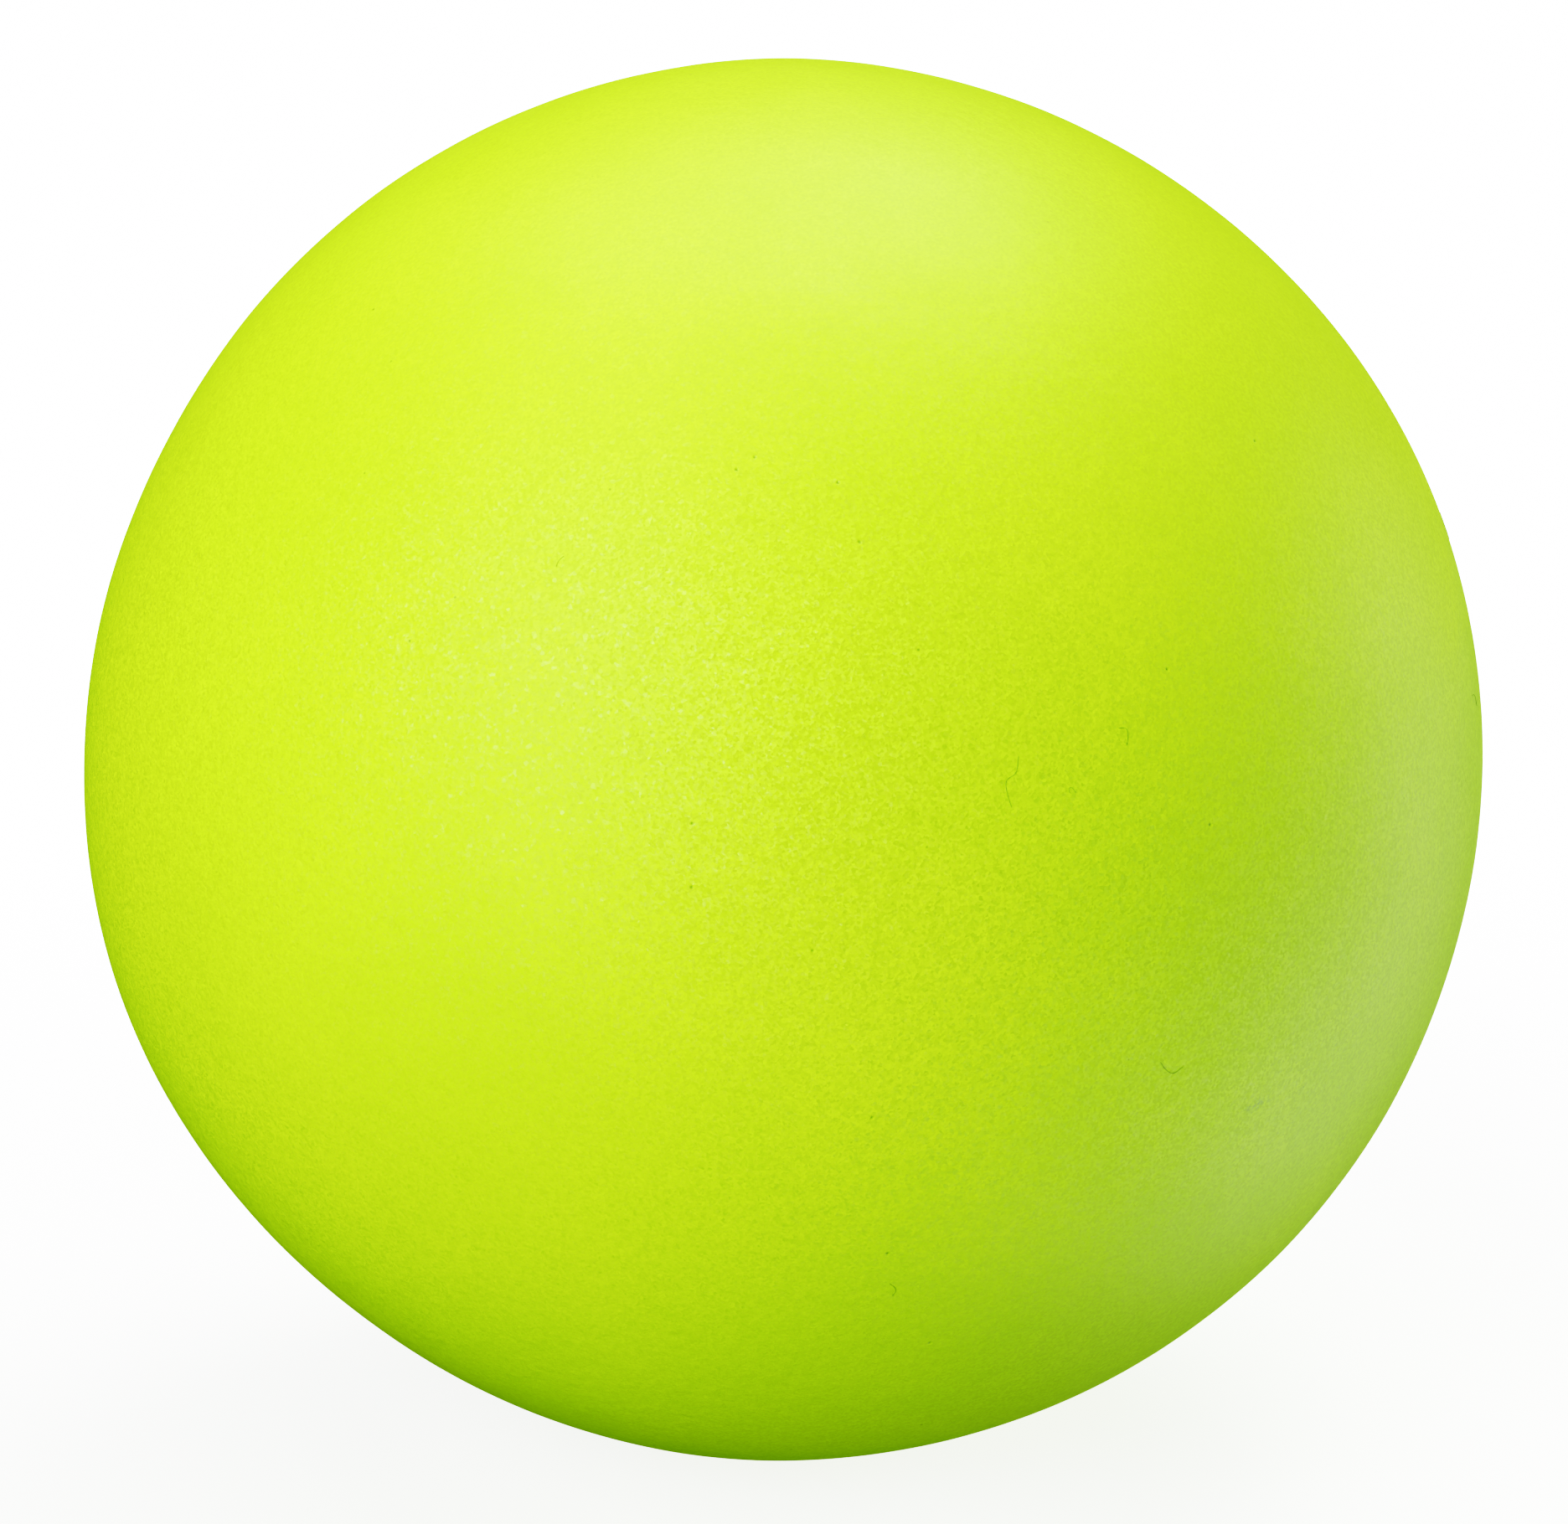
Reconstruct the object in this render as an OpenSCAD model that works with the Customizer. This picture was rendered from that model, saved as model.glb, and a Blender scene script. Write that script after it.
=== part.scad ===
// Quiet-play pickleball: a moulded foam ball, sealed by a thin base coat and covered by a
// seamless coloured skin. The three layers are concentric and bonded face to face.
// Millimetres, +Z up, origin at the centre of the ball.

/* [Ball] */
// Outside diameter of the finished ball
ball_diameter = 74; // [72.9:0.1:75.4]

/* [Layers] */
// Thickness of the coloured outer skin
skin_thickness = 0.6; // [0.3:0.05:1.2]
// Thickness of the base coat that seals the foam and bonds the skin
base_coat_thickness = 0.25; // [0.1:0.05:0.5]

/* [Quality] */
// Number of flats round each sphere
round_steps = 180; // [48:4:240]

/* [Hidden] */
$fn = round_steps;
ball_radius = ball_diameter / 2;
skin_inner_radius = ball_radius - skin_thickness;
core_radius = skin_inner_radius - base_coat_thickness;

// Closed hollow ball between two concentric spheres
module shell(outer_radius, inner_radius) {
    difference() {
        sphere(r = outer_radius);
        sphere(r = inner_radius);
    }
}

// Cellular foam ball that gives the bounce, the weight and the quiet strike
module foam_core() {
    color("palegoldenrod")
        sphere(r = core_radius);
}

// Clear elastic coat soaked onto the foam, closing its cells under the skin
module base_coat() {
    color("khaki")
        shell(skin_inner_radius, core_radius);
}

// Matte lime-yellow elastic skin with no seam
module outer_skin() {
    color("greenyellow")
        shell(ball_radius, skin_inner_radius);
}

foam_core();
base_coat();
outer_skin();
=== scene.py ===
# %% [markdown]
# # A foam pickleball
#
# This lesson dresses a ball made for quiet and indoor pickleball. It has no holes and no
# seam: a moulded foam ball, a thin clear coat that closes the foam's cells, and a matte
# lime skin. The three layers are bonded, so nothing moves.
#
# The plan is: load the measured ball, build each layer as its own mesh, give each its own
# finish, then light it as a studio would light a small product and aim a camera at it.
#
# First comes the frame. It holds the ball's plain layers at their true size, in metres,
# with the centre of the ball at the origin and +Z up. Every piece below takes its radius
# from there, so nothing has to be fitted afterwards.

# %% Load the frame
import math
import random

import bmesh
import bpy
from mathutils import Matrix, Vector, noise


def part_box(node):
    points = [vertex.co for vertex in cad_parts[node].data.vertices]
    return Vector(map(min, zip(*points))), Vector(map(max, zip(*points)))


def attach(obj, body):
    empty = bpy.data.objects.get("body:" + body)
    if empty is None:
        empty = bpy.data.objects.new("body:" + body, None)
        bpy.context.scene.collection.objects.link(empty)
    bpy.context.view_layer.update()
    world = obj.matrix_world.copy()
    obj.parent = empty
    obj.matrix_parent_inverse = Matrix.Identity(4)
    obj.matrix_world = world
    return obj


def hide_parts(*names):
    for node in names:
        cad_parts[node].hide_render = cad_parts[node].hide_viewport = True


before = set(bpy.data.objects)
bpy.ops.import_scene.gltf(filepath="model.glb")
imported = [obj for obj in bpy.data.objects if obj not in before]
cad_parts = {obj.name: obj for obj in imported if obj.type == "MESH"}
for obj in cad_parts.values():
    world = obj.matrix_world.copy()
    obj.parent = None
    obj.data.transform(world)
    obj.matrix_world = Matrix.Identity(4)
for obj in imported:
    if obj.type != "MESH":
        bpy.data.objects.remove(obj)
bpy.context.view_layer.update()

MM = 0.001


def radius_of(node):
    """Outer radius of a round layer, read from the frame."""
    low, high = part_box(node)
    return (high[2] - low[2]) / 2


ball_radius = radius_of("outer_skin")
coat_radius = radius_of("base_coat")
core_radius = radius_of("foam_core")
print(f"ball {ball_radius / MM:.2f} mm, coat {coat_radius / MM:.2f} mm, foam {core_radius / MM:.2f} mm")

# %% [markdown]
# ## Finding your way on a ball
#
# A ball has no edges to measure from, so a place on it is two angles, as on a globe.
# Azimuth 0 faces the camera and grows to the right; elevation 0 is the equator and 90 is
# the top. One small function turns the two angles into a direction.


# %% Directions on the ball
def toward(azimuth, elevation):
    """Unit direction for two angles in degrees."""
    around = math.radians(azimuth)
    up = math.radians(elevation)
    return Vector((math.sin(around) * math.cos(up), -math.cos(around) * math.cos(up), math.sin(up)))


print("the top of the ball is", tuple(round(c, 3) for c in toward(0, 90)))

# %% [markdown]
# ## An even mesh for a round thing
#
# A globe-style sphere crowds its faces at the poles, and that shows as a pinch under soft
# light. Here a cube's sides are cut into squares and every corner is pushed out to the
# unit ball. Bending the grid by a tangent first keeps the squares nearly the same size
# all over, so small waves come out equally well everywhere.


# %% An even ball of squares
def even_ball(steps):
    """Unit ball made of six grids of steps by steps squares, as a bmesh."""
    bm = bmesh.new()
    bmesh.ops.create_cube(bm, size=2)
    bmesh.ops.subdivide_edges(bm, edges=bm.edges[:], cuts=steps - 1, use_grid_fill=True)
    for vert in bm.verts:
        vert.co = Vector([math.tan(c * math.pi / 4) for c in vert.co]).normalized()
    return bm


def piece_from(bm, name):
    """A smooth-shaded object from a bmesh, with its origin at the centre of the ball."""
    mesh = bpy.data.meshes.new(name)
    bm.to_mesh(mesh)
    bm.free()
    mesh.shade_smooth()
    piece = bpy.data.objects.new(name, mesh)
    bpy.context.scene.collection.objects.link(piece)
    print(f"{name}: {len(mesh.vertices)} points, {len(mesh.polygons)} faces")
    return piece


# %% [markdown]
# ## How round is a soft ball?
#
# A skinned foam ball is cured on a rack and stored in a box, so it is never quite true.
# It has a few broad full and flat places, a quarter of a millimetre or less, and on top of
# them a faint waviness left by the coats as they levelled. Both are sums of smooth
# terms, so they are written as a rule, and every layer follows the same one: the skin
# can't bulge where the foam doesn't.

# %% Full and flat places
# Azimuth, elevation, how many degrees wide, and how far out (or in) at the middle, in mm.
FULL_AND_FLAT = [
    (-86, 31, 20, -0.22),
    (-76, -17, 16, 0.24),
    (180, 87, 16, 0.15),
    (78, -13, 16, -0.12),
    (86, 26, 16, 0.10),
    (-60, -49, 16, -0.08),
    (-13, -68, 16, 0.07),
    (155, 15, 26, 0.12),
    (-145, -20, 24, -0.14),
    (130, -45, 20, 0.08),
]
PLACES = [(toward(az, el), math.radians(width), rise * MM) for az, el, width, rise in FULL_AND_FLAT]
WAVE_LENGTHS = [(9.0, 0.030), (3.2, 0.008), (1.5, 0.0025)]  # wavelength and height, in mm


def out_of_round(direction):
    """How far the foam, and so every layer, stands off a true sphere here, in metres."""
    return sum(rise * math.exp(-((direction.angle(at) / width) ** 2)) for at, width, rise in PLACES)


def waviness(direction):
    """The levelling waves of the skin, in metres."""
    spot = direction * (ball_radius / MM)
    return sum(noise.noise(spot / length) * height * MM for length, height in WAVE_LENGTHS)


print(f"right side stands {out_of_round(toward(90, 0)) / MM:+.3f} mm off true")

# %% [markdown]
# ## The skin, with its pinholes
#
# The skin is sprayed or dipped in coats. Where a bubble in the foam vents through a wet
# coat it leaves a pinhole little more than a tenth of a millimetre across. A hole that
# small needs a finer mesh than the rest of the ball, so only the squares round each
# pinhole are cut finer, twice over, before any point is moved. That keeps the whole skin
# light enough to share and still gives every pinhole a real hollow.
#
# The skin also has a few faint scuffs. They are too shallow to cut, so the mesh only
# remembers where they are, and the finish paints them.

# %% Where the pinholes are
# Azimuth and elevation in degrees. The listed ones are on the front; the rest are strewn
# over the sides and the back, evenly by height, which is evenly by area on a ball.
PINHOLES = [
    (4.5, 32.0), (6.5, -14.5), (2.0, -1.5), (-6.5, 7.5), (-6.5, 3.0), (8.5, -27.0), (14.0, -38.0),
    (30.0, 17.0), (32.5, 5.5), (46.5, 33.0), (-4.0, 33.0), (-2.5, 34.0), (6.0, 27.5),
]
more_pinholes = random.Random(7)
for _ in range(30):
    azimuth = more_pinholes.uniform(65, 295)
    height = more_pinholes.uniform(-0.97, 0.97)
    PINHOLES.append((azimuth, math.degrees(math.asin(height))))

PINHOLE_RADIUS = 0.065 * MM
PINHOLE_DEPTH = 0.06 * MM
FINER_WITHIN = (0.9 * MM, 0.4 * MM)
pinholes = [toward(az, el) for az, el in PINHOLES]
print(f"{len(pinholes)} pinholes, {2 * PINHOLE_RADIUS / MM:.2f} mm across")


# %% Cut the mesh finer round the pinholes
def refine(bm, places, reach, cuts):
    """Cuts finer every face of a unit ball that lies within reach (metres) of a place."""
    close = math.cos(reach / ball_radius)
    edges = set()
    for face in bm.faces:
        middle = face.calc_center_median().normalized()
        if any(middle.dot(place) > close for place in places):
            edges.update(face.edges)
    bmesh.ops.subdivide_edges(bm, edges=list(edges), cuts=cuts, use_grid_fill=True)
    for vert in bm.verts:
        vert.co.normalize()


def pinhole_at(direction):
    """0 on plain skin, rising to 1 at the middle of a pinhole."""
    nearest = max(direction.dot(place) for place in pinholes)
    off = ball_radius * math.acos(min(nearest, 1.0))
    return math.exp(-((off / PINHOLE_RADIUS) ** 4)) if off < 4 * PINHOLE_RADIUS else 0.0


# %% Faint scuffs
# Azimuth, elevation, heading in degrees from level, length and width in mm.
SCUFFS = [
    (40.0, -17.5, 10, 1.3, 0.5),
    (56.5, -24.5, 15, 1.0, 0.4),
    (0.0, -14.0, -20, 0.8, 0.3),
    (205.0, 12.0, 35, 2.5, 0.6),
]


def scuff_at(direction):
    """How scuffed the skin is here, 0 to 1."""
    most = 0.0
    for azimuth, elevation, heading, length, width in SCUFFS:
        middle = toward(azimuth, elevation)
        off = (direction - middle) * (ball_radius / MM)
        if off.length > 3 * length:
            continue
        level = Vector((0, 0, 1)).cross(middle).normalized()
        up = middle.cross(level)
        turn = math.radians(heading)
        along = off.dot(level) * math.cos(turn) + off.dot(up) * math.sin(turn)
        across = off.dot(up) * math.cos(turn) - off.dot(level) * math.sin(turn)
        most = max(most, math.exp(-((2 * along / length) ** 2) - (2 * across / width) ** 2))
    return most


# %% [markdown]
# ## Two walls make a skin
#
# A skin has an outside, which waves and pits, and an inside, which lies on the coat. The
# inside is a coarser ball turned inside out, so that its faces also point out of the
# material. The outside remembers how deep in a pinhole each point lies and how scuffed it
# is; from that the finish paints shade into the holes and dulls the scuffs.

# %% Build the skin
SKIN_STEPS = 112
LINING_STEPS = 40


def add_ball(bm, steps, radius, inward=False):
    """Adds a ball that follows the full and flat places. inward turns its faces inside."""
    part = even_ball(steps)
    for vert in part.verts:
        vert.co *= radius + out_of_round(vert.co)
    if inward:
        bmesh.ops.reverse_faces(part, faces=part.faces[:])
    mesh = bpy.data.meshes.new("part")
    part.to_mesh(mesh)
    part.free()
    bm.from_mesh(mesh)
    bpy.data.meshes.remove(mesh)


def make_skin():
    """The lime skin: a waved, pitted outside and a plain lining."""
    bm = even_ball(SKIN_STEPS)
    for reach in FINER_WITHIN:
        refine(bm, pinholes, reach, 2)
    depth = bm.verts.layers.float.new("pinhole")
    scuff = bm.verts.layers.float.new("scuff")
    for vert in bm.verts:
        direction = vert.co.copy()
        vert[depth] = pinhole_at(direction)
        vert[scuff] = scuff_at(direction)
        rise = out_of_round(direction) + waviness(direction) - vert[depth] * PINHOLE_DEPTH
        vert.co = direction * (ball_radius + rise)
    add_ball(bm, LINING_STEPS, coat_radius, inward=True)
    return piece_from(bm, "lime_skin")


skin = make_skin()

# %% [markdown]
# ## Foam cells by rule
#
# The core is foam, and a foam surface is a crowd of round hollows with thin walls between
# them. That is a rule and not a list, so Geometry Nodes makes it: a Voronoi pattern gives
# each point its distance to the nearest wall, and every point sinks towards the centre by
# that much, up to a limit. Size, depth and wall are inputs, so a finer foam is one number
# away.


# %% Helpers for node trees
def add_node(tree, kind, inputs=None, **settings):
    """Adds a node. inputs sets sockets by name or number; settings set its own choices."""
    made = tree.nodes.new(kind)
    for name, value in settings.items():
        setattr(made, name, value)
    for socket, value in (inputs or {}).items():
        made.inputs[socket].default_value = value
    return made


def wire(tree, *pairs):
    """Links each output to an input."""
    for out_socket, in_socket in pairs:
        tree.links.new(out_socket, in_socket)


def maths(tree, operation, a, b=None, c=None):
    """A maths node on numbers or sockets; gives its output."""
    made = add_node(tree, "ShaderNodeMath", operation=operation)
    for place, value in enumerate((a, b, c)):
        if isinstance(value, bpy.types.NodeSocket):
            tree.links.new(value, made.inputs[place])
        elif value is not None:
            made.inputs[place].default_value = value
    return made.outputs[0]


def geometry_tree(name, inputs):
    """An empty geometry tree with a geometry in and out, and the named inputs."""
    tree = bpy.data.node_groups.new(name, "GeometryNodeTree")
    tree.interface.new_socket("Geometry", in_out="OUTPUT", socket_type="NodeSocketGeometry")
    tree.interface.new_socket("Geometry", in_out="INPUT", socket_type="NodeSocketGeometry")
    for label, kind in inputs.items():
        tree.interface.new_socket(label, in_out="INPUT", socket_type=kind)
    return tree, add_node(tree, "NodeGroupInput"), add_node(tree, "NodeGroupOutput")


def make_real(piece, tree, values):
    """Runs a geometry tree on a piece and leaves a plain mesh without the modifier."""
    modifier = piece.modifiers.new(tree.name, "NODES")
    modifier.node_group = tree
    for socket in tree.interface.items_tree:
        if socket.item_type == "SOCKET" and socket.in_out == "INPUT" and socket.name in values:
            modifier[socket.identifier] = values[socket.name]
    evaluated = piece.evaluated_get(bpy.context.evaluated_depsgraph_get())
    mesh = bpy.data.meshes.new_from_object(evaluated)
    piece.modifiers.clear()
    piece.data = mesh
    mesh.name = piece.name
    print(f"{piece.name}: {len(mesh.polygons)} faces after {tree.name}")
    return piece


# %% The tree that sinks the cells
FULL_DEPTH_AT = 0.42  # cells in from the nearest wall


def foam_cell_tree():
    """Sinks round hollows into a ball, with thin walls left between them."""
    number = "NodeSocketFloat"
    tree, given, result = geometry_tree(
        "foam_cells",
        {"Cell Size": number, "Cell Depth": number, "Wall": number, "Material": "NodeSocketMaterial"},
    )
    place = add_node(tree, "GeometryNodeInputPosition")
    per_cell = add_node(tree, "ShaderNodeVectorMath", operation="DIVIDE")
    cells = add_node(tree, "ShaderNodeTexVoronoi", {"Scale": 1.0}, feature="DISTANCE_TO_EDGE")
    hollow = add_node(
        tree, "ShaderNodeMapRange", {"From Max": FULL_DEPTH_AT}, interpolation_type="SMOOTHERSTEP"
    )
    outward = add_node(tree, "ShaderNodeVectorMath", operation="NORMALIZE")
    sink = add_node(tree, "ShaderNodeVectorMath", operation="SCALE")
    move = add_node(tree, "GeometryNodeSetPosition")
    real = add_node(tree, "GeometryNodeRealizeInstances")
    finish = add_node(tree, "GeometryNodeSetMaterial")
    inward = maths(tree, "MULTIPLY", given.outputs["Cell Depth"], -1.0)
    wire(
        tree,
        (place.outputs[0], per_cell.inputs[0]),
        (given.outputs["Cell Size"], per_cell.inputs[1]),
        (per_cell.outputs[0], cells.inputs["Vector"]),
        (cells.outputs["Distance"], hollow.inputs["Value"]),
        (given.outputs["Wall"], hollow.inputs["From Min"]),
        (place.outputs[0], outward.inputs[0]),
        (outward.outputs[0], sink.inputs[0]),
        (maths(tree, "MULTIPLY", hollow.outputs[0], inward), sink.inputs["Scale"]),
        (given.outputs["Geometry"], move.inputs["Geometry"]),
        (sink.outputs[0], move.inputs["Offset"]),
        (move.outputs[0], real.inputs[0]),
        (real.outputs[0], finish.inputs["Geometry"]),
        (given.outputs["Material"], finish.inputs["Material"]),
        (finish.outputs[0], result.inputs[0]),
    )
    return tree

# %% [markdown]
# ## A finish is more than a colour
#
# The skin's lime comes from pigment stirred into the last coats, so it is very slightly
# uneven. Its surface levels as it dries but never fully: it keeps a fine pebble of beads an
# eighth of a millimetre across. Three things differ from bead to bead, each by chance:
#
# - its colour, between lime and a deeper lime;
# - its lean, so that neighbours catch a lamp at different angles;
# - its shine. Most beads are dull and a few are bright, and under one soft lamp those few
#   are what makes a matte ball sparkle.
#
# Beads that small are finer than any mesh worth sharing, so the finish makes them. The
# spray lands square round the middle of the ball and mostly on one side, so the pebble
# fades towards the ball's ends and round its back.
#
# All patterns read Object coordinates, which are metres from the centre of the ball, so
# each size below is a real size. Bump heights are in metres too.

# %% Helpers for finishes
PALE_LIME = (0.516, 0.885, 0.043, 1)
LIME = (0.466, 0.838, 0.037, 1)
DEEP_LIME = (0.400, 0.750, 0.031, 1)
BEAD_LIME = (0.360, 0.615, 0.028, 1)
SHADED_LIME = (0.10, 0.22, 0.004, 1)
SCUFFED_LIME = (0.25, 0.40, 0.08, 1)


def new_finish(name):
    """A material with its tree, its shader and the place of each point on the ball."""
    material = bpy.data.materials.new(name)
    material.use_nodes = True
    tree = material.node_tree
    place = add_node(tree, "ShaderNodeTexCoord").outputs["Object"]
    return material, tree, tree.nodes["Principled BSDF"], place


def grain(tree, place, size, detail=2.0, roughness=0.5):
    """Soft noise whose blobs are about size metres across; 0 to 1, mostly near 0.5."""
    made = add_node(
        tree, "ShaderNodeTexNoise", {"Scale": 1 / size, "Detail": detail, "Roughness": roughness}
    )
    tree.links.new(place, made.inputs["Vector"])
    return made.outputs["Fac"]


def stretch(tree, value, low, high, to_low=0.0, to_high=1.0):
    """Maps low..high to to_low..to_high and holds it there beyond."""
    made = add_node(
        tree,
        "ShaderNodeMapRange",
        {"From Min": low, "From Max": high, "To Min": to_low, "To Max": to_high},
    )
    tree.links.new(value, made.inputs["Value"])
    return made.outputs[0]


def tint(tree, amount, base, other):
    """Mixes other into base by amount. Each colour is a socket or four numbers."""
    made = add_node(tree, "ShaderNodeMix", data_type="RGBA")
    tree.links.new(amount, made.inputs["Factor"])
    for socket, colour in ((made.inputs[6], base), (made.inputs[7], other)):
        if isinstance(colour, bpy.types.NodeSocket):
            tree.links.new(colour, socket)
        else:
            socket.default_value = colour
    return made.outputs[2]


def relief(tree, height):
    """The normal of a surface bumped by a height in metres."""
    made = add_node(tree, "ShaderNodeBump", {"Strength": 1.0, "Distance": 1.0})
    tree.links.new(height, made.inputs["Height"])
    return made.outputs[0]


def attribute(tree, name):
    """A number that the mesh carries at each point."""
    return add_node(tree, "ShaderNodeAttribute", attribute_name=name).outputs["Fac"]


# %% The beads of the skin
BEAD_SIZE = 0.13 * MM


def chances(tree, place, size):
    """For each cell of a pattern, three random numbers; and the distance to its middle."""
    cells = add_node(tree, "ShaderNodeTexVoronoi", {"Scale": 1 / size, "Randomness": 1.0})
    tree.links.new(place, cells.inputs["Vector"])
    return cells.outputs["Color"], cells.outputs["Distance"]


def one_chance(tree, colour, which=0):
    """One of a cell's three random numbers."""
    split = add_node(tree, "ShaderNodeSeparateColor")
    tree.links.new(colour, split.inputs[0])
    return split.outputs[which]


# %% Where the spray landed
SPRAYED_SIDE = toward(-25, 5)


def round_the_middle(tree, place):
    """1 round the middle of the ball, where the spray lands square, and 0.25 at its ends."""
    split = add_node(tree, "ShaderNodeSeparateXYZ")
    tree.links.new(place, split.inputs[0])
    off_middle = maths(tree, "ABSOLUTE", split.outputs["Z"])
    return stretch(tree, off_middle, 0.35 * ball_radius, 0.78 * ball_radius, 1.0, 0.25)


def sprayed(tree, place, low, high):
    """1 on the side that took most of the last coat, and 0.22 round the back.

    low and high are cosines of the angle from the middle of that side.
    """
    middle = SPRAYED_SIDE / ball_radius
    facing = add_node(tree, "ShaderNodeVectorMath", {1: middle}, operation="DOT_PRODUCT")
    tree.links.new(place, facing.inputs[0])
    return stretch(tree, facing.outputs["Value"], low, high, 0.22, 1.0)


# %% Beads that lean
BEAD_TILT = 0.35


def tilted_beads(tree, colour, strength, normal):
    """A normal that leans a little at random, bead by bead."""
    lean = add_node(tree, "ShaderNodeVectorMath", {1: (0.5, 0.5, 0.5)}, operation="SUBTRACT")
    scaled = add_node(tree, "ShaderNodeVectorMath", operation="SCALE")
    leaning = add_node(tree, "ShaderNodeVectorMath", operation="ADD")
    unit = add_node(tree, "ShaderNodeVectorMath", operation="NORMALIZE")
    wire(
        tree,
        (colour, lean.inputs[0]),
        (lean.outputs[0], scaled.inputs[0]),
        (maths(tree, "MULTIPLY", strength, BEAD_TILT), scaled.inputs["Scale"]),
        (scaled.outputs[0], leaning.inputs[0]),
        (normal, leaning.inputs[1]),
        (leaning.outputs[0], unit.inputs[0]),
    )
    return unit.outputs[0]


# %% Beads that shine, and painted pinprick shade
SHINE = 0.477
GLINT_SIZE = 0.18 * MM
GLINT_RARITY = 10.0
GLINT_GAIN = 1.6
PRICK_SPACING = 1.9 * MM


def glints(tree, place, strength):
    """How strongly each bead mirrors the lamps: most are weak and a few are bright.

    A chance raised to a high power is small but for a few. Its mean is taken away, so the
    glints change how the shine is shared out and not how much of it there is.
    """
    colour, _ = chances(tree, place, GLINT_SIZE)
    bright = maths(tree, "POWER", one_chance(tree, colour), GLINT_RARITY)
    mean = 1 / (GLINT_RARITY + 1)
    above = maths(tree, "MULTIPLY_ADD", bright, GLINT_GAIN, -GLINT_GAIN * mean)
    return maths(tree, "MULTIPLY_ADD", maths(tree, "MULTIPLY", above, strength), SHINE, SHINE)


def pinprick_shade(tree, place):
    """Painted shade for tiny holes where a coat has not quite closed: sparse dark specks, 0 to 1."""
    colour, distance = chances(tree, place, PRICK_SPACING)
    near = stretch(tree, distance, 0.018, 0.045, 1.0, 0.0)
    return maths(tree, "MULTIPLY", near, stretch(tree, one_chance(tree, colour, 1), 0.72, 0.95))


# %% The lime skin's finish
PEEL_SIZE = 0.85 * MM
PEEL_HEIGHT = 0.03 * MM


def lime_skin_finish():
    """Matte pigmented elastic skin: its colour first, then its shine, then its lean."""
    material, tree, shader, place = new_finish("lime_skin_finish")
    mottle = stretch(tree, grain(tree, place, 13 * MM, 3.0, 0.6), 0.35, 0.65)
    beads, _ = chances(tree, place, BEAD_SIZE)
    specks = stretch(tree, grain(tree, place, 0.5 * MM, 3.0, 0.65), 0.40, 0.80, 0.0, 0.55)
    colour = tint(tree, mottle, PALE_LIME, LIME)
    colour = tint(tree, specks, colour, DEEP_LIME)
    banded = round_the_middle(tree, place)
    uneven = maths(tree, "SUBTRACT", one_chance(tree, beads, 2), 0.5)
    uneven = maths(tree, "MULTIPLY", uneven, maths(tree, "MULTIPLY_ADD", banded, 0.5, 0.5))
    colour = tint(tree, maths(tree, "MULTIPLY_ADD", uneven, 0.8, 0.4), colour, BEAD_LIME)
    streaks = stretch(tree, grain(tree, place, 0.25 * MM, 4.0, 0.7), 0.42, 0.60)
    scuff = maths(tree, "MULTIPLY", attribute(tree, "scuff"), streaks)
    colour = tint(tree, scuff, colour, SCUFFED_LIME)
    # Painted shade: pinholes, which are also shallow hollows in the mesh, and pinpricks, which the mesh
    # lacks, are darkened towards shaded lime.
    dark = maths(tree, "MAXIMUM", attribute(tree, "pinhole"), pinprick_shade(tree, place))
    dark = maths(tree, "MULTIPLY", dark, 0.75)
    colour = tint(tree, dark, colour, SHADED_LIME)
    tree.links.new(colour, shader.inputs["Base Color"])

    handled = grain(tree, place, 7 * MM, 4.0, 0.6)
    tree.links.new(stretch(tree, handled, 0.3, 0.7, 0.44, 0.50), shader.inputs["Roughness"])
    shader.inputs["IOR"].default_value = 1.48
    strength = maths(tree, "MULTIPLY", banded, sprayed(tree, place, 0.45, 0.85))
    tree.links.new(glints(tree, place, strength), shader.inputs["Specular IOR Level"])

    peel = maths(tree, "MULTIPLY", grain(tree, place, PEEL_SIZE, 2.0), PEEL_HEIGHT)
    levelled = relief(tree, peel)
    leaning = maths(tree, "MULTIPLY", banded, sprayed(tree, place, 0.28, 0.80))
    tree.links.new(tilted_beads(tree, beads, leaning, levelled), shader.inputs["Normal"])
    return material


skin.data.materials.append(lime_skin_finish())
print("the skin's beads are", round(BEAD_SIZE / MM, 2), "mm across")

# %% [markdown]
# ## The foam ball and the coat that closes it
#
# The foam is the ball's body. It is pale, dry and full of cells. The coat is brushed on
# thin, so it runs into the cells: its inside is the foam's own surface turned round, and
# its outside is smooth, ready for the skin.

# %% Build the foam
FOAM_STEPS = 112
CELL_SIZE = 2.1 * MM
CELL_DEPTH = 0.42 * MM
CELL_WALL = 0.06


def foam_finish():
    """Dry pale foam: matte, patchy and flecked a deeper yellow, dusted with fine cells."""
    material, tree, shader, place = new_finish("foam_finish")
    patches = stretch(tree, grain(tree, place, 9 * MM, 3.0), 0.35, 0.65)
    colour = tint(tree, patches, (0.78, 0.73, 0.47, 1), (0.70, 0.64, 0.37, 1))
    fine = stretch(tree, grain(tree, place, 0.3 * MM, 3.0, 0.7), 0.45, 0.70)
    colour = tint(tree, fine, colour, (0.60, 0.53, 0.28, 1))
    tree.links.new(colour, shader.inputs["Base Color"])
    tree.links.new(stretch(tree, fine, 0.0, 1.0, 0.82, 0.95), shader.inputs["Roughness"])
    pores = maths(tree, "MULTIPLY", grain(tree, place, 0.22 * MM, 3.0), 0.04 * MM)
    tree.links.new(relief(tree, pores), shader.inputs["Normal"])
    return material


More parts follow.
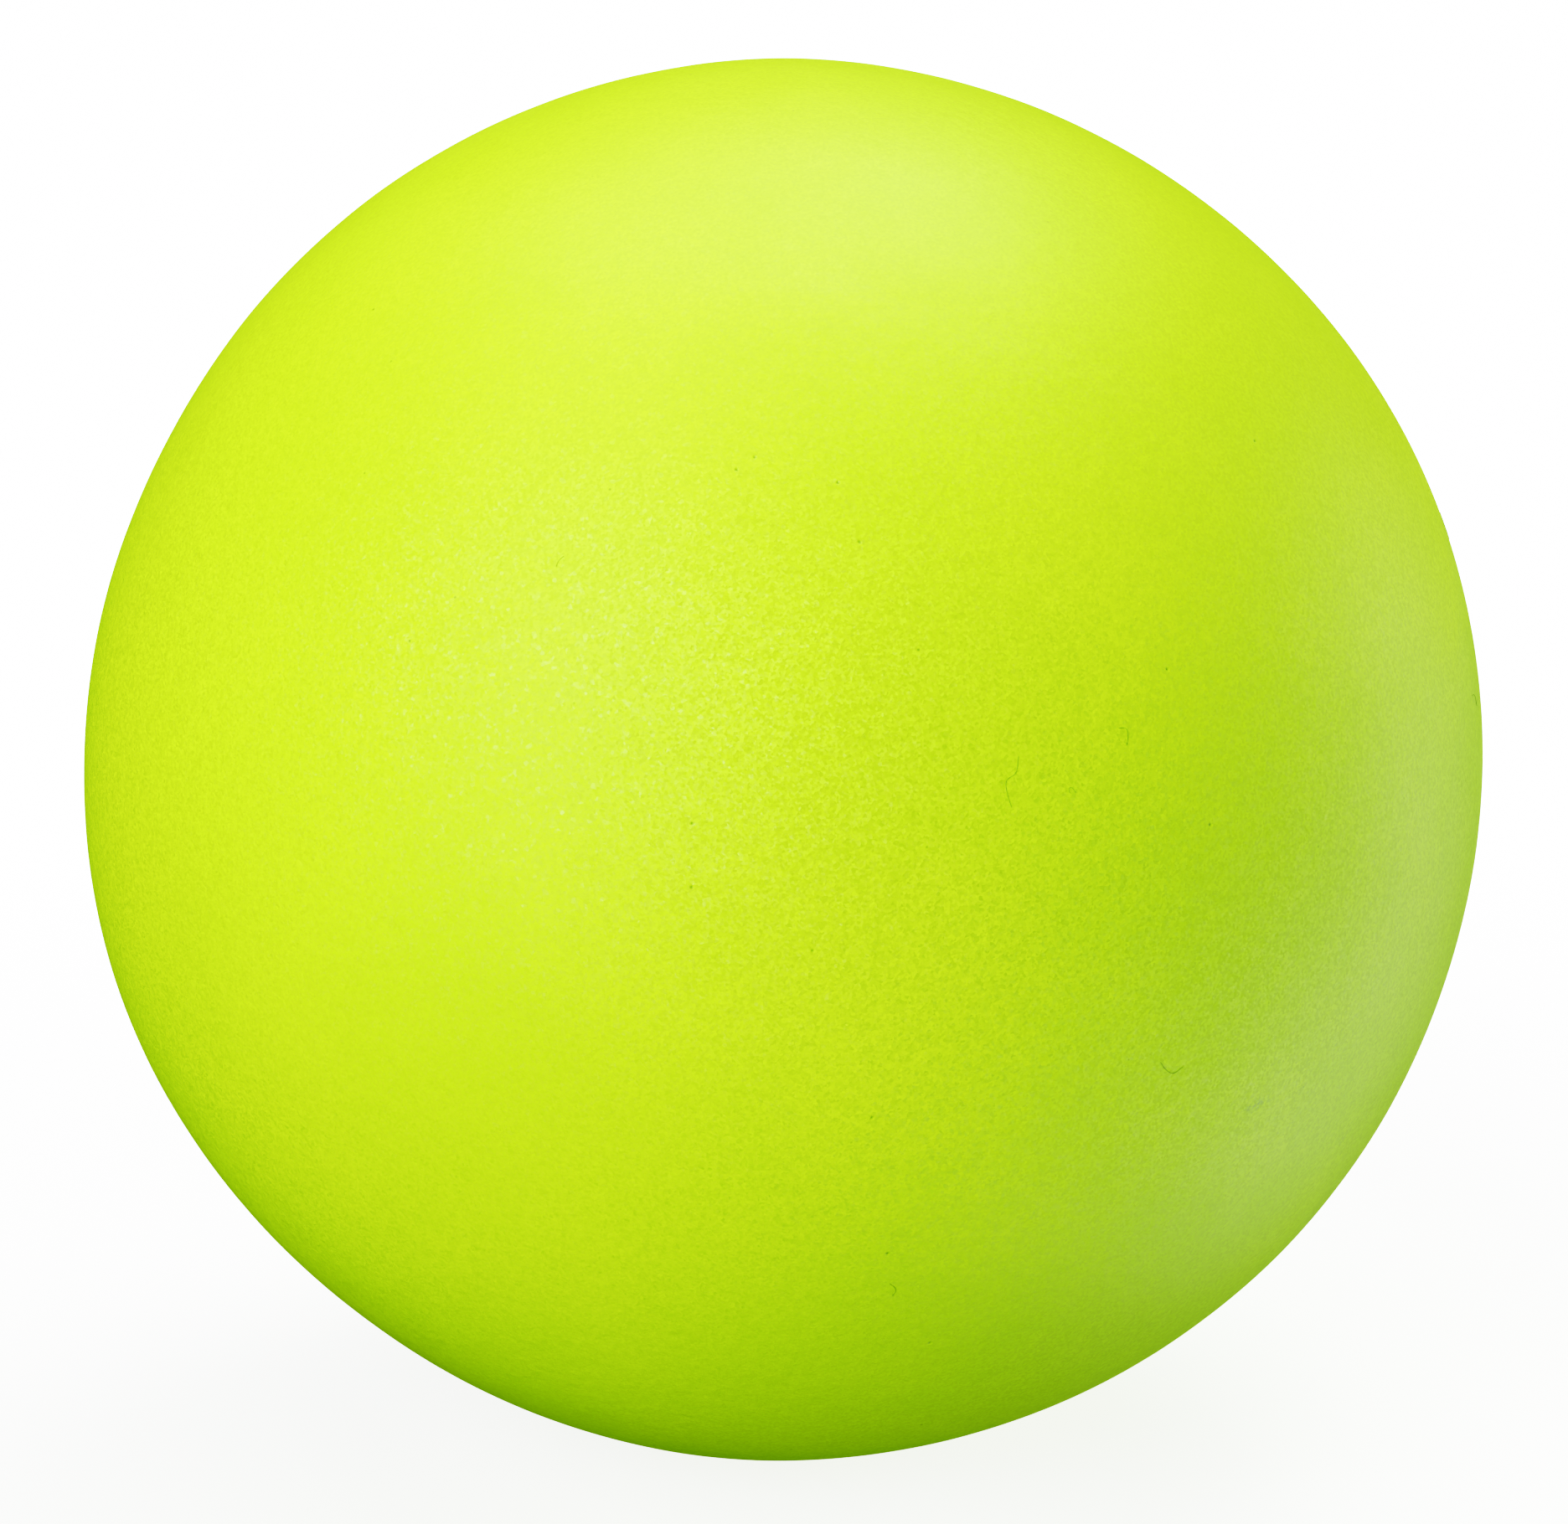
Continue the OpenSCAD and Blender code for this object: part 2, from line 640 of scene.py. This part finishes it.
def make_foam():
    """The foam core, its cells sunk by rule."""
    bm = bmesh.new()
    add_ball(bm, FOAM_STEPS, core_radius)
    foam = piece_from(bm, "foam_ball")
    values = {"Cell Size": CELL_SIZE, "Cell Depth": CELL_DEPTH, "Wall": CELL_WALL, "Material": foam_finish()}
    return make_real(foam, foam_cell_tree(), values)


foam = make_foam()


# %% Build the coat
def coat_finish():
    """Clear elastic coat over foam: pale green-yellow, satin, with soak marks."""
    material, tree, shader, place = new_finish("coat_finish")
    soak = stretch(tree, grain(tree, place, 3 * MM, 4.0, 0.6), 0.38, 0.62)
    colour = tint(tree, soak, (0.72, 0.76, 0.34, 1), (0.62, 0.68, 0.25, 1))
    tree.links.new(colour, shader.inputs["Base Color"])
    tree.links.new(stretch(tree, soak, 0.0, 1.0, 0.28, 0.48), shader.inputs["Roughness"])
    brushed = maths(tree, "MULTIPLY", grain(tree, place, 1.1 * MM, 3.0), 0.03 * MM)
    tree.links.new(relief(tree, brushed), shader.inputs["Normal"])
    return material


def make_coat():
    """The coat: smooth outside, and the foam's cells as its inside."""
    bm = bmesh.new()
    bm.from_mesh(foam.data)
    bmesh.ops.reverse_faces(bm, faces=bm.faces[:])
    add_ball(bm, LINING_STEPS, coat_radius)
    coat = piece_from(bm, "clear_coat")
    coat.data.materials.clear()
    coat.data.materials.append(coat_finish())
    return coat


coat = make_coat()

# %% [markdown]
# ## Lint
#
# A matte elastic skin holds static and picks up lint as soon as it leaves its bag. Each
# fibre here is a short path laid on the ball, and Geometry Nodes turns every path into a
# thread: it rounds the path's corners, spaces its points evenly and sweeps a small ring along
# it. A thread is about a fortieth of a millimetre thick.

# %% Where the lint lies
# Each fibre is a list of places: azimuth and elevation, in degrees. The fibres round the
# back wander at random: each takes a place and a heading, then three short steps.
FIBRES = [
    [(17.1, 11.8), (16.8, 10.6), (16.1, 10.1), (16.1, 9.3), (16.4, 8.2)],
    [(25.2, 13.2), (25.8, 13.1), (25.9, 12.6), (25.7, 11.9)],
    [(20.9, 8.9), (20.9, 9.3), (21.4, 8.9)],
    [(29.2, -12.1), (29.8, -12.8), (30.6, -13.2), (31.3, -12.8)],
    [(9.0, -30.2), (9.6, -30.9), (9.4, -31.6)],
    [(-18.1, 25.3), (-18.0, 25.7), (-17.6, 26.1)],
]
more_fibres = random.Random(11)
SPANS = ((70, 290), (-60, 70), (0, 2 * math.pi))
for _ in range(9):
    azimuth, elevation, heading = (more_fibres.uniform(*span) for span in SPANS)
    path = []
    for _ in range(4):
        path.append((azimuth, elevation))
        heading += more_fibres.uniform(-0.7, 0.7)
        azimuth += 0.9 * math.cos(heading) / math.cos(math.radians(elevation))
        elevation += 0.9 * math.sin(heading)
    FIBRES.append(path)

FIBRE_RADIUS = 0.012 * MM
THREAD_STEP = 0.12 * MM


def lint_paths():
    """Every fibre's path as loose edges lying on the skin."""
    bm = bmesh.new()
    for path in FIBRES:
        last = None
        for azimuth, elevation in path:
            direction = toward(azimuth, elevation)
            height = ball_radius + out_of_round(direction) + waviness(direction) + FIBRE_RADIUS
            vert = bm.verts.new(direction * height)
            if last:
                bm.edges.new((last, vert))
            last = vert
    mesh = bpy.data.meshes.new("lint_fibres")
    bm.to_mesh(mesh)
    bm.free()
    piece = bpy.data.objects.new("lint_fibres", mesh)
    bpy.context.scene.collection.objects.link(piece)
    return piece


# %% The tree that spins the threads
def thread_tree():
    """Turns paths into thin threads."""
    tree, given, result = geometry_tree(
        "threads", {"Radius": "NodeSocketFloat", "Step": "NodeSocketFloat", "Material": "NodeSocketMaterial"}
    )
    path = add_node(tree, "GeometryNodeMeshToCurve")
    spline = add_node(tree, "GeometryNodeCurveSplineType", spline_type="BEZIER")
    smooth = add_node(tree, "GeometryNodeCurveSetHandles", handle_type="AUTO")
    points = add_node(tree, "GeometryNodeResampleCurve", mode="LENGTH")
    ring = add_node(tree, "GeometryNodeCurvePrimitiveCircle", {"Resolution": 6})
    thread = add_node(tree, "GeometryNodeCurveToMesh", {"Fill Caps": True})
    real = add_node(tree, "GeometryNodeRealizeInstances")
    finish = add_node(tree, "GeometryNodeSetMaterial")
    wire(
        tree,
        (given.outputs["Geometry"], path.inputs[0]),
        (path.outputs[0], spline.inputs[0]),
        (spline.outputs[0], smooth.inputs[0]),
        (smooth.outputs[0], points.inputs[0]),
        (given.outputs["Step"], points.inputs["Length"]),
        (points.outputs[0], thread.inputs["Curve"]),
        (given.outputs["Radius"], ring.inputs["Radius"]),
        (ring.outputs[0], thread.inputs["Profile Curve"]),
        (thread.outputs[0], real.inputs[0]),
        (real.outputs[0], finish.inputs["Geometry"]),
        (given.outputs["Material"], finish.inputs["Material"]),
        (finish.outputs[0], result.inputs[0]),
    )
    return tree


def lint_finish():
    """Dark olive cotton, unevenly dyed along each fibre."""
    material, tree, shader, place = new_finish("lint_finish")
    uneven = stretch(tree, grain(tree, place, 0.3 * MM), 0.35, 0.65)
    colour = tint(tree, uneven, (0.14, 0.26, 0.02, 1), (0.27, 0.47, 0.03, 1))
    tree.links.new(colour, shader.inputs["Base Color"])
    tree.links.new(stretch(tree, uneven, 0.0, 1.0, 0.7, 0.9), shader.inputs["Roughness"])
    return material


lint = make_real(
    lint_paths(), thread_tree(), {"Radius": FIBRE_RADIUS, "Step": THREAD_STEP, "Material": lint_finish()}
)

# %% [markdown]
# ## Each piece on the one body
#
# Nothing on a ball moves by itself, so there is one body and every piece rides on it. Each
# piece stands in for its plain layer, which is hidden. The foam ball is a stuffed-tight
# foam piece.

# %% Ride and replace
for piece, node, slot in (
    (foam, "foam_core", "cellular_foam"),
    (coat, "base_coat", "clear_base_coat"),
    (skin, "outer_skin", "lime_skin"),
):
    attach(piece, "root")
    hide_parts(node)
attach(lint, "root")
print("pieces on the root:", ", ".join(piece.name for piece in (foam, coat, skin, lint)))

# %% [markdown]
# ## A pale floor and soft light
#
# The ball stands on a round of pale board in front of a white backdrop. The board fades
# out at its rim, so the two meet without a line, and it glows a little, as a light table
# does, so that the ball's shadow on it stays faint. A bright floor close under a small ball
# would drown its shading in bounced light, so both are for the eye only: the camera sees
# them and the ball's light passes them by.


# %% The floor and the backdrop
FLOOR_RADIUS = 160 * MM
FADE_FROM = 70 * MM
FLOOR_GLOW = 0.82
BACKDROP_RADIUS = 3.0
BACKDROP_GLOW = 1.9


def floor_finish():
    """Plain pale board, very slightly uneven, that glows a little and fades at its rim."""
    material, tree, shader, place = new_finish("floor_finish")
    uneven = stretch(tree, grain(tree, place, 60 * MM, 3.0), 0.3, 0.7)
    colour = tint(tree, uneven, (0.60, 0.60, 0.60, 1), (0.58, 0.58, 0.58, 1))
    tree.links.new(colour, shader.inputs["Base Color"])
    shader.inputs["Roughness"].default_value = 0.9
    shader.inputs["Emission Color"].default_value = (1, 1, 1, 1)
    shader.inputs["Emission Strength"].default_value = FLOOR_GLOW
    away = add_node(tree, "ShaderNodeVectorMath", operation="LENGTH")
    tree.links.new(place, away.inputs[0])
    fading = stretch(tree, away.outputs["Value"], FADE_FROM, FLOOR_RADIUS, 1.0, 0.0)
    tree.links.new(fading, shader.inputs["Alpha"])
    return material


def backdrop_finish():
    """Paper that is lit to an even white."""
    material, _, shader, _ = new_finish("backdrop_finish")
    shader.inputs["Base Color"].default_value = (0, 0, 0, 1)
    shader.inputs["Emission Color"].default_value = (1, 1, 1, 1)
    shader.inputs["Emission Strength"].default_value = BACKDROP_GLOW
    return material


def stage_piece(bm, name, finish):
    """A piece of the set that only the camera sees."""
    piece = piece_from(bm, name)
    piece.data.materials.append(finish)
    for rays in ("diffuse", "glossy", "transmission", "volume_scatter", "shadow"):
        setattr(piece, "visible_" + rays, False)


bm = bmesh.new()
bmesh.ops.create_circle(bm, cap_ends=True, segments=64, radius=FLOOR_RADIUS)
lowest = min(point.co.z for point in skin.data.vertices)
for vert in bm.verts:
    vert.co.z = lowest
stage_piece(bm, "floor", floor_finish())

bm = even_ball(12)
for vert in bm.verts:
    vert.co *= BACKDROP_RADIUS
bmesh.ops.reverse_faces(bm, faces=bm.faces[:])
stage_piece(bm, "backdrop", backdrop_finish())

# %% [markdown]
# ## Lamps that show and lamps that fill
#
# The light comes from soft boxes on stands, all facing the ball. Four of them may be seen
# in its skin: one overhead for the broad glow near the top, one high at the front left
# that picks out the beads, a tall card at the right that turns that edge paler, and a low
# one at the right. The others are fill: from over the back, from the front left, low
# across the front, from the right, and from behind. They shape the shading, but their
# glare is filtered off, as polarising film does in a studio.

# %% Soft boxes
# Name, azimuth, elevation, distance, width and height in metres, power in watts.
MIRRORED_BOXES = [
    ("top_box", 190, 83, 0.60, 0.66, 0.60, 2.22),
    ("high_left_box", -39, 30, 0.60, 0.35, 0.35, 1.54),
    ("right_card", 106, -15, 0.50, 0.35, 0.75, 1.07),
    ("low_right_card", 76, -42, 0.50, 0.40, 0.40, 0.37),
]
FILL_BOXES = [
    ("top_back_fill", 138, 64, 0.60, 0.40, 0.40, 1.92),
    ("front_left_fill", -25, 15, 0.60, 0.40, 0.40, 2.38),
    ("low_front_fill", -33, -12, 0.60, 0.50, 0.30, 0.82),
    ("right_fill", 125, -10, 0.50, 0.30, 0.60, 1.22),
    ("back_fill", 182, -12, 0.60, 0.35, 0.35, 1.28),
]


def soft_box(name, azimuth, elevation, distance, width, height, power):
    """A rectangular lamp that faces the middle of the ball."""
    lamp = bpy.data.lights.new(name, "AREA")
    lamp.shape = "RECTANGLE"
    lamp.size = width
    lamp.size_y = height
    lamp.energy = power
    box = bpy.data.objects.new(name, lamp)
    box.location = toward(azimuth, elevation) * distance
    box.rotation_euler = (-box.location).to_track_quat("-Z", "Y").to_euler()
    box.visible_camera = False
    bpy.context.scene.collection.objects.link(box)
    return box


for row in MIRRORED_BOXES:
    soft_box(*row)
for row in FILL_BOXES:
    soft_box(*row).visible_glossy = False
print(f"{len(MIRRORED_BOXES)} boxes show in the skin and {len(FILL_BOXES)} only fill")

ROOM_LIGHT = 0.002
room = bpy.data.worlds.new("room")
room.use_nodes = True
room.node_tree.nodes["Background"].inputs["Color"].default_value = (1, 1, 1, 1)
room.node_tree.nodes["Background"].inputs["Strength"].default_value = ROOM_LIGHT
bpy.context.scene.world = room

# %% [markdown]
# ## The camera
#
# A long lens looks slightly down on the ball, which fills nine tenths of the picture's
# width. The distance follows from that: the lines of sight that graze the ball make a
# cone, and the cone's half angle is set by the width wanted on the sensor.

# %% Aim the camera
LENS = 100.0  # mm
SENSOR = 36.0  # mm
CAMERA_ELEVATION = 12.0
BALL_SHARE = 0.8922  # of the picture's width
AIM_BELOW_CENTRE = 0.09 * MM

graze = math.atan(BALL_SHARE / 2 * SENSOR / LENS)
distance = ball_radius / math.sin(graze)
lens = bpy.data.cameras.new("camera")
lens.lens = LENS
lens.sensor_width = SENSOR
lens.clip_start = 0.01
camera = bpy.data.objects.new("camera", lens)
camera.location = toward(0, CAMERA_ELEVATION) * distance
target = Vector((0, 0, -AIM_BELOW_CENTRE))
camera.rotation_euler = (target - camera.location).to_track_quat("-Z", "Y").to_euler()
bpy.context.scene.collection.objects.link(camera)
bpy.context.scene.camera = camera
print(f"camera {distance / MM:.0f} mm from the middle of the ball")

# %% [markdown]
# ## The print's tones
#
# A camera doesn't record light evenly. It lifts the middle tones, rolls off near white and
# sinks the darkest tones, and because it does so to red, green and blue separately a
# bright lime turns yellower and a shaded lime turns greener. The curve below does the
# same. Its points are scene light and picture light, with plain white at twice the light
# of a well-lit white card.

# %% Bend the tones
BRIGHTEST = 2.0
TONES = [
    (0.012, 0.0), (0.035, 0.009), (0.065, 0.034), (0.105, 0.088), (0.166, 0.203),
    (0.25, 0.355), (0.46, 0.618), (0.80, 0.822), (1.0, 0.905),
]

view = bpy.context.scene.view_settings
view.view_transform = "Standard"
view.use_curve_mapping = True
view.curve_mapping.white_level = (BRIGHTEST, BRIGHTEST, BRIGHTEST)
curve = view.curve_mapping.curves[3]
for light, tone in TONES:
    curve.points.new(light / BRIGHTEST, tone)
view.curve_mapping.update()
print(f"the tone curve has {len(curve.points)} points")
